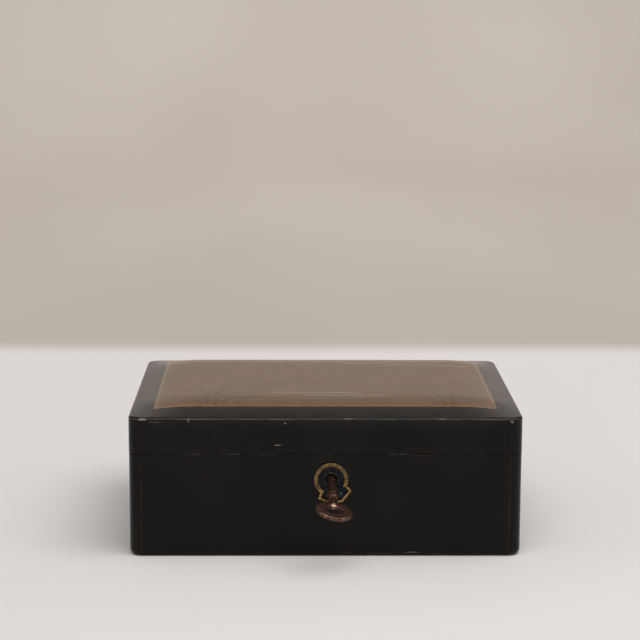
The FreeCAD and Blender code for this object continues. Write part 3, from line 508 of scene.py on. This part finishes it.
def aged_metal(name, cover=(0.4, 0.65), roughness=(0.3, 0.5), patch=9.0):
    """Metal with patches of tarnish and fine scratches. Returns the graph, and its colour for more work."""
    clean, tarnish = METALS[name]
    graph = Graph(name)
    patches = graph.noise(patch, detail=6.0, distortion=0.4)
    dull = graph.remap(patches, *cover)
    lines = graph.noise(0.35, stretch=(12.0, 1.0, 1.0), shift=6.0)
    scratched = tuple(SCRATCH_SHADE * v for v in clean)
    bright = graph.mix(graph.remap(lines, 0.3, 0.7, 0.0, 0.35), clean, scratched)
    colour = graph.mix(dull, bright, tarnish)
    graph.set(
        Base_Color=colour,
        Metallic=graph.remap(dull, 0.0, 1.0, 1.0, TARNISHED_METALLIC),
        Roughness=graph.remap(dull, 0.0, 1.0, *roughness),
    )
    graph.bump(graph.math("ADD", graph.product(lines, 0.5), patches), depth=0.03, strength=0.5)
    return graph, colour


def plain_metal(name):
    return aged_metal(name)[0].material


def escutcheon_brass():
    """Cast brass, dark between its reeds and bright where it has been rubbed."""
    graph, colour = aged_metal("escutcheon_brass", cover=(0.4, 0.62), patch=3.0)
    y = graph.axes(graph.place)[1]
    deep = graph.remap(y, RIM_FACE + 0.15, RIM_FACE + 0.5)
    colour = graph.mix(graph.product(deep, 0.75), colour, REED_GROOVE)
    graph.set(Base_Color=colour, Metallic=graph.remap(deep, 0.0, 1.0, 0.95, 0.5))
    return graph.material


def dark_brass():
    """Blackened plate whose lip round the keyhole is worn; its pale patches also paint the lip's highlight.
    """
    graph, colour = aged_metal("dark_brass", patch=2.2)
    y = graph.axes(graph.place)[1]
    lip = graph.remap(y, PLATE_FACE + 0.05, PLATE_FACE + 0.3, 1.0, 0.0)
    worn = graph.patches(2.6, 0.45, 0.62, detail=4.0, shift=3.0)
    # Pale patches on the lip: partly wear and partly a painted highlight
    graph.set(Base_Color=graph.mix(graph.product(lip, worn, 0.35), colour, LIP_WORN_AND_HIGHLIGHT))
    return graph.material


# Key: its joint gives the point on its axis at the front face and the way in. The bow is an oval plate, and
# the places on it are shares of its half length and half width, from its middle.
KEY_TURNED = 12.0
BOW_CENTRE = 42.6
BOW_HALF_WIDTH = 14.3
BOW_HALF_LENGTH = 11.3
BOW_RIM = (0.86, 0.97)
BOW_FAR_HALF = (-0.2, 0.3)
RIB_END = (-0.5, 0.13)
RIB_END_ACROSS = (-0.04, 0.2)
KEY_RUBBED = (0.19, 0.1, 0.072)
KEY_PAINTED_HIGHLIGHT = (0.62, 0.42, 0.28)


def key_axes():
    """The point where the key passes the front, and the ways across its bow and out along it."""
    joint = next(j for j in frame["record"]["behaviour"]["joints"] if j["name"] == "key_turn")
    point = Vector(joint["pos_m"]) / MILLIMETRE
    out = -Vector(joint["axis"]).normalized()
    level = Vector((0.0, 0.0, 1.0)).cross(out).normalized()
    across = Matrix.Rotation(math.radians(-KEY_TURNED), 3, out) @ level
    return tuple(point), tuple(across), tuple(out)


def key_copper():
    """Red-brown patina, rubbed to copper round the bow's far edge, with a painted highlight where the rib
    ends.
    """
    graph, colour = aged_metal("key_copper", cover=(0.3, 0.52), roughness=(0.22, 0.42), patch=4.0)
    point, across, out = key_axes()
    offset = graph.vector("SUBTRACT", graph.place, point)
    wide = graph.vector("DOT_PRODUCT", offset, across, output="Value")
    wide = graph.math("DIVIDE", wide, BOW_HALF_WIDTH)
    along = graph.vector("DOT_PRODUCT", offset, out, output="Value")
    along = graph.math("DIVIDE", graph.math("SUBTRACT", along, BOW_CENTRE), BOW_HALF_LENGTH)
    radius = graph.math("SQRT", graph.math("ADD", graph.product(wide, wide), graph.product(along, along)))
    rub = graph.patches(2.2, 0.42, 0.6, detail=5.0, shift=9.0)
    rim = graph.product(graph.remap(radius, *BOW_RIM), graph.remap(along, *BOW_FAR_HALF))
    # Painted highlight: a pale spot on the rib's sloped end, where it catches the light
    rib_end_highlight = graph.product(graph.near(along, *RIB_END), graph.near(wide, *RIB_END_ACROSS))
    colour = graph.mix(graph.product(rim, rub, 0.6), colour, KEY_RUBBED)
    colour = graph.mix(graph.remap(rib_end_highlight, 0.1, 0.4, 0.0, 0.8), colour, KEY_PAINTED_HIGHLIGHT)
    graph.set(Base_Color=colour)
    return graph.material


SLATE_DARK = (0.028, 0.03, 0.033)
SLATE_LIGHT = (0.06, 0.062, 0.064)
SLATE_SPECK = (0.16, 0.16, 0.155)


def slate():
    """Cloudy grey-black stone with pale specks."""
    graph = Graph("slate")
    ground = graph.mix(graph.patches(16.0, 0.3, 0.7, detail=6.0), SLATE_DARK, SLATE_LIGHT)
    specks = graph.patches(0.7, 0.66, 0.72, detail=2.0, shift=4.0)
    graph.set(
        Base_Color=graph.mix(graph.product(specks, 0.4), ground, SLATE_SPECK),
        Roughness=graph.patches(8.0, 0.3, 0.7, 0.5, 0.7, detail=4.0, shift=2.0),
    )
    graph.bump(graph.noise(1.1, detail=6.0), depth=0.12, strength=0.5)
    return graph.material


INK_BLACK = (0.006, 0.006, 0.007)
INK_BLOOM = (0.04, 0.038, 0.036)


def dry_ink():
    """A pressed stick of ink with a dusty bloom."""
    graph = Graph("ink")
    bloom = graph.patches(7.0, 0.45, 0.7, detail=6.0)
    graph.set(
        Base_Color=graph.mix(graph.product(bloom, 0.5), INK_BLACK, INK_BLOOM),
        Roughness=graph.remap(bloom, 0.0, 1.0, 0.3, 0.6),
    )
    graph.bump(graph.noise(0.9, stretch=(1.0, 10.0, 1.0), detail=4.0), depth=0.08, strength=0.5)
    return graph.material


# Brushes: cane handles with a ring at each joint of the cane, every second stretch mirrored, and pale hair
CANE_DARK = (0.3, 0.17, 0.06)
CANE_LIGHT = (0.52, 0.35, 0.15)
CANE_RING = (0.12, 0.06, 0.02)
CANE_STRETCH = 47.0
CANE_START = 96.0
RING_PLACE = (12.0, 1.2)
HAIR_DARK = (0.32, 0.24, 0.15)
HAIR_LIGHT = (0.66, 0.58, 0.46)
HAIR_INKED = (0.02, 0.018, 0.016)
# Where the ink's stain starts and is full, back from the point
INKED_BACK = (10.0, 3.0)
HAIR_SHEEN = 0.3


def bamboo():
    """Long fibres, and darker rings where the joints of the cane were."""
    graph = Graph("bamboo")
    y = graph.axes(graph.place)[1]
    fibres = graph.noise(0.5, stretch=(1.0, 60.0, 1.0), detail=4.0)
    colour = graph.mix(graph.remap(fibres, 0.3, 0.7), CANE_DARK, CANE_LIGHT)
    along = graph.math("PINGPONG", graph.math("ADD", y, CANE_START), CANE_STRETCH)
    ring = graph.near(along, *RING_PLACE)
    graph.set(
        Base_Color=graph.mix(graph.product(ring, 0.6), colour, CANE_RING),
        Roughness=graph.remap(fibres, 0.3, 0.7, 0.35, 0.5),
    )
    graph.bump(graph.math("ADD", fibres, ring), depth=0.1, strength=0.4)
    return graph.material


def hair():
    """Brush hair: pale fibres with an ink-stained point."""
    graph = Graph("hair")
    y = graph.axes(graph.place)[1]
    point = millimetres("brush_hair")[1].y
    fibres = graph.noise(0.3, stretch=(1.0, 40.0, 1.0))
    colour = graph.mix(graph.remap(fibres, 0.3, 0.7), HAIR_DARK, HAIR_LIGHT)
    uneven = graph.math("ADD", y, graph.product(fibres, 4.0))
    stained = graph.remap(uneven, *(point - back for back in INKED_BACK))
    graph.set(Base_Color=graph.mix(stained, colour, HAIR_INKED), Roughness=0.75, Sheen_Weight=HAIR_SHEEN)
    graph.bump(fibres, depth=0.15, strength=0.8)
    return graph.material


def finish_model():
    """Gives every node the material of its slot, and returns the materials."""
    materials = {
        "black_lacquer": black_lacquer(),
        "painted_lacquer": painted_lacquer(),
        "inner_lacquer": inner_lacquer(),
        "brass": plain_metal("brass"),
        "spring_steel": plain_metal("spring_steel"),
        "pin_steel": plain_metal("pin_steel"),
        "escutcheon_brass": escutcheon_brass(),
        "dark_brass": dark_brass(),
        "key_copper": key_copper(),
        "slate": slate(),
        "dropper_metal": plain_metal("dropper_metal"),
        "ink": dry_ink(),
        "bamboo": bamboo(),
        "hair": hair(),
    }
    for part in frame["record"]["subparts"]:
        for slot in frame["nodes"][part["node"]].material_slots:
            slot.material = materials[part["material_slot"]]
    return materials


# Brush hair: radius along a tuft as shares of its belly's, and the locks that its surface is drawn into.
# Each lock has finer ridges, and both wander a little round the tuft.
TUFT_PROFILE = (
    (0.0, 0.85),
    (0.18, 0.95),
    (0.35, 1.0),
    (0.52, 0.87),
    (0.7, 0.58),
    (0.85, 0.32),
    (1.0, 0.08),
)
TUFT_LOCKS = 14
LOCK_RIDGES = 3
LOCK_DEPTH = 0.09
RIDGE_DEPTH = LOCK_DEPTH / 3
TUFT_ROWS = 48
TUFT_COLUMNS = 168


def tuft_radius(share):
    """Radius at a share of the tuft's length, as a share of its belly's."""
    for (start, first), (end, last) in zip(TUFT_PROFILE, TUFT_PROFILE[1:]):
        if share <= end:
            break
    return first + (last - first) * (share - start) / (end - start)


def drawn_in(angle, share):
    """How far the locks and ridges draw the surface in, as a share of the radius."""
    lock = abs(math.sin(TUFT_LOCKS / 2 * angle + 0.5 * math.sin(3 * angle + 5 * share) + 0.8 * share))
    ridge = math.sin(LOCK_RIDGES * TUFT_LOCKS * angle + 2 * math.sin(2 * angle + 3 * share))
    return LOCK_DEPTH * share * (1 - lock) + RIDGE_DEPTH * (1 + ridge) / 2


def build_tuft(shape, x, low, high):
    """Adds one brush's hair to shape, along Y at x."""
    belly = (high.z - low.z) / 2
    rows = []
    for row in range(TUFT_ROWS + 1):
        share = row / TUFT_ROWS
        ring = []
        for column in range(TUFT_COLUMNS):
            angle = 2 * math.pi * column / TUFT_COLUMNS
            radius = belly * tuft_radius(share) * (1 - drawn_in(angle, share))
            y = low.y + share * (high.y - low.y)
            place = Vector((x + radius * math.cos(angle), y, low.z + belly + radius * math.sin(angle)))
            ring.append(shape.verts.new(place * MILLIMETRE))
        rows.append(ring)
    for near_row, far_row in zip(rows, rows[1:]):
        for column in range(TUFT_COLUMNS):
            after = (column + 1) % TUFT_COLUMNS
            corners = near_row[column], far_row[column], far_row[after], near_row[after]
            shape.faces.new(corners).smooth = True
    shape.faces.new(rows[0])
    shape.faces.new(rows[-1][::-1])


def build_tufts(material):
    """The brushes' hair, drawn into locks that meet at the point."""
    low, high = millimetres("brush_hair")
    belly = (high.z - low.z) / 2
    shape = bmesh.new()
    for x in (low.x + belly, high.x - belly):
        build_tuft(shape, x, low, high)
    bmesh.ops.recalc_face_normals(shape, faces=shape.faces)
    tufts = add_mesh("brush_tufts", shape, material)
    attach(tufts, "tray")
    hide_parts("brush_hair")


def add_mesh(name, shape, material):
    """Turns a bmesh into an object of the scene."""
    mesh = bpy.data.meshes.new(name)
    shape.to_mesh(mesh)
    shape.free()
    mesh.materials.append(material)
    return add_object(name, mesh)


def add_object(name, data):
    made = bpy.data.objects.new(name, data)
    bpy.context.scene.collection.objects.link(made)
    return made


# Camera: place and turn that put the box's corners where the photograph has them
CAMERA_PLACE = (-0.02668, -1.533, 0.43308)
CAMERA_DOWN = 9.954
CAMERA_YAW = -0.881
CAMERA_ROLL = 0.237
CAMERA_LENS = 108.34
CAMERA_SENSOR = 36.0


def place_camera():
    data = bpy.data.cameras.new("camera")
    data.sensor_width = CAMERA_SENSOR
    data.lens = CAMERA_LENS
    camera = add_object("camera", data)
    turn = (
        Matrix.Rotation(math.radians(CAMERA_YAW), 4, "Z")
        @ Matrix.Rotation(math.radians(90 - CAMERA_DOWN), 4, "X")
        @ Matrix.Rotation(math.radians(CAMERA_ROLL), 4, "Z")
    )
    camera.matrix_world = Matrix.Translation(CAMERA_PLACE) @ turn
    bpy.context.scene.camera = camera


# Room: a white table that runs into a greige wall behind it. The table's edge is in millimetres, as what lies
# on a surface is.
TABLE_EDGE = 740.0
TABLE_EDGE_SOFT = 50.0
TABLE_COLOURS = ((0.8, 0.77, 0.75), (0.83, 0.8, 0.785))
WALL_COLOURS = ((0.52, 0.47, 0.43), (0.56, 0.51, 0.465))
ROOM_ROUGHNESS = 0.85
WALL_Y = 4.0
WALL_HEIGHT = 5.0
SWEEP_RADIUS = 1.2
SWEEP_STEPS = 12
ROOM_HALF_WIDTH = 7.0
ROOM_FRONT = -7.0

# Lights
STUDIO_COLOUR = (1.0, 0.975, 0.95, 1.0)
STUDIO_STRENGTH = 0.44


def room_material():
    graph = Graph("room")
    y = graph.axes(graph.place)[1]
    mottle = graph.patches(500.0, 0.3, 0.7, stretch=(1.0, 3.0, 1.0), detail=1.0)
    table = graph.mix(mottle, *TABLE_COLOURS)
    wall = graph.mix(mottle, *WALL_COLOURS)
    beyond = graph.remap(y, TABLE_EDGE - TABLE_EDGE_SOFT, TABLE_EDGE + TABLE_EDGE_SOFT, smooth=True)
    graph.set(Base_Color=graph.mix(beyond, table, wall), Roughness=ROOM_ROUGHNESS)
    graph.bump(graph.noise(3.0, detail=5.0), depth=0.2, strength=0.15)
    return graph.material


def build_room():
    """The floor, and a wall that it sweeps up into, as one surface."""
    profile = [(ROOM_FRONT, 0.0), (WALL_Y - SWEEP_RADIUS, 0.0)]
    for step in range(1, SWEEP_STEPS + 1):
        angle = math.pi / 2 * step / SWEEP_STEPS
        y = WALL_Y - SWEEP_RADIUS + SWEEP_RADIUS * math.sin(angle)
        profile.append((y, SWEEP_RADIUS - SWEEP_RADIUS * math.cos(angle)))
    profile.append((WALL_Y, WALL_HEIGHT))
    shape = bmesh.new()
    rows = [[shape.verts.new((x, y, z)) for x in (-ROOM_HALF_WIDTH, ROOM_HALF_WIDTH)] for y, z in profile]
    for (a, b), (c, d) in zip(rows, rows[1:]):
        shape.faces.new((a, b, d, c)).smooth = True
    add_mesh("room", shape, room_material())


def area_light(name, place, target, size, power):
    data = bpy.data.lights.new(name, "AREA")
    data.shape = "RECTANGLE"
    data.size, data.size_y = size
    data.energy = power
    light = add_object(name, data)
    light.location = place
    light.rotation_euler = (Vector(target) - Vector(place)).to_track_quat("-Z", "Y").to_euler()


def light_room():
    world = bpy.data.worlds.new("studio")
    world.use_nodes = True
    background = world.node_tree.nodes["Background"]
    background.inputs["Color"].default_value = STUDIO_COLOUR
    background.inputs["Strength"].default_value = STUDIO_STRENGTH
    bpy.context.scene.world = world
    bpy.context.scene.view_settings.view_transform = "Standard"
    area_light("overhead", place=(0.5, -0.8, 2.3), target=(0.0, 0.0, 0.0), size=(3.0, 1.8), power=42.0)
    area_light("wall_wash", place=(0.0, 1.8, 2.6), target=(0.0, 4.0, 1.0), size=(4.0, 0.8), power=51.0)


build_tufts(finish_model()["hair"])
build_room()
light_room()
place_camera()
